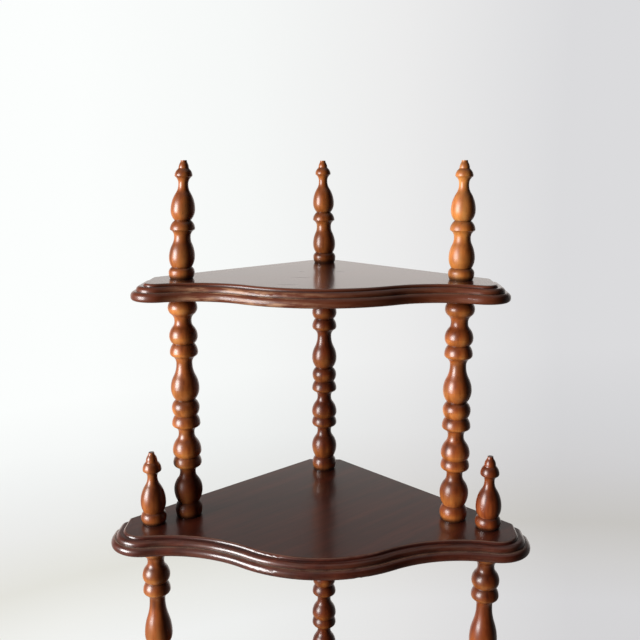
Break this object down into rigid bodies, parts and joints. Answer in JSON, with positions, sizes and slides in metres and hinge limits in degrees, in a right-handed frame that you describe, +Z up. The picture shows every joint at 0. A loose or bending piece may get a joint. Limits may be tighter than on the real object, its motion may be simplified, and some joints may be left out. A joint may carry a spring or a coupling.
{
  "type": "corner shelf",
  "caption": "Graduated corner shelf: serpentine boards with moulded fronts on turned posts, with turned finials and feet, for standing in a room's corner.",
  "frame": {"origin": "on the floor under the axis of the rear post", "axes": "+Z up; +Y from the room into the corner, in the plane of symmetry; +X to the right of someone facing the shelf"},
  "size_m": [0.7034, 0.4114, 1.4625],
  "materials": {
    "board": "dark red-brown stain, satin lacquer",
    "turned": "amber brown lacquer, dark in the grooves",
    "steel": "plain zinc-plated"
  },
  "bodies": {
    "root": {"shelf_1": "board", "shelf_2": "board", "shelf_3": "board", "shelf_4": "board", "shelf_5": "board", "studs_shelf_1": "steel", "studs_shelf_2": "steel", "studs_shelf_3": "steel", "studs_shelf_4": "steel", "studs_shelf_5": "steel", "screws_shelf_2": "steel", "screws_shelf_3": "steel", "screws_shelf_4": "steel", "screws_shelf_5": "steel", "rear_post_1": "turned", "left_post_1": "turned", "right_post_1": "turned", "rear_post_2": "turned", "left_post_2": "turned", "right_post_2": "turned", "rear_post_3": "turned", "left_post_3": "turned", "right_post_3": "turned", "rear_post_4": "turned", "left_post_4": "turned", "right_post_4": "turned", "rear_tall_finial": "turned", "left_tall_finial": "turned", "right_tall_finial": "turned", "left_small_finial_2": "turned", "right_small_finial_2": "turned", "left_small_finial_3": "turned", "right_small_finial_3": "turned", "left_small_finial_4": "turned", "right_small_finial_4": "turned", "left_small_finial_5": "turned", "right_small_finial_5": "turned", "rear_foot": "turned", "left_foot": "turned", "right_foot": "turned"}
  },
  "joints": []
}
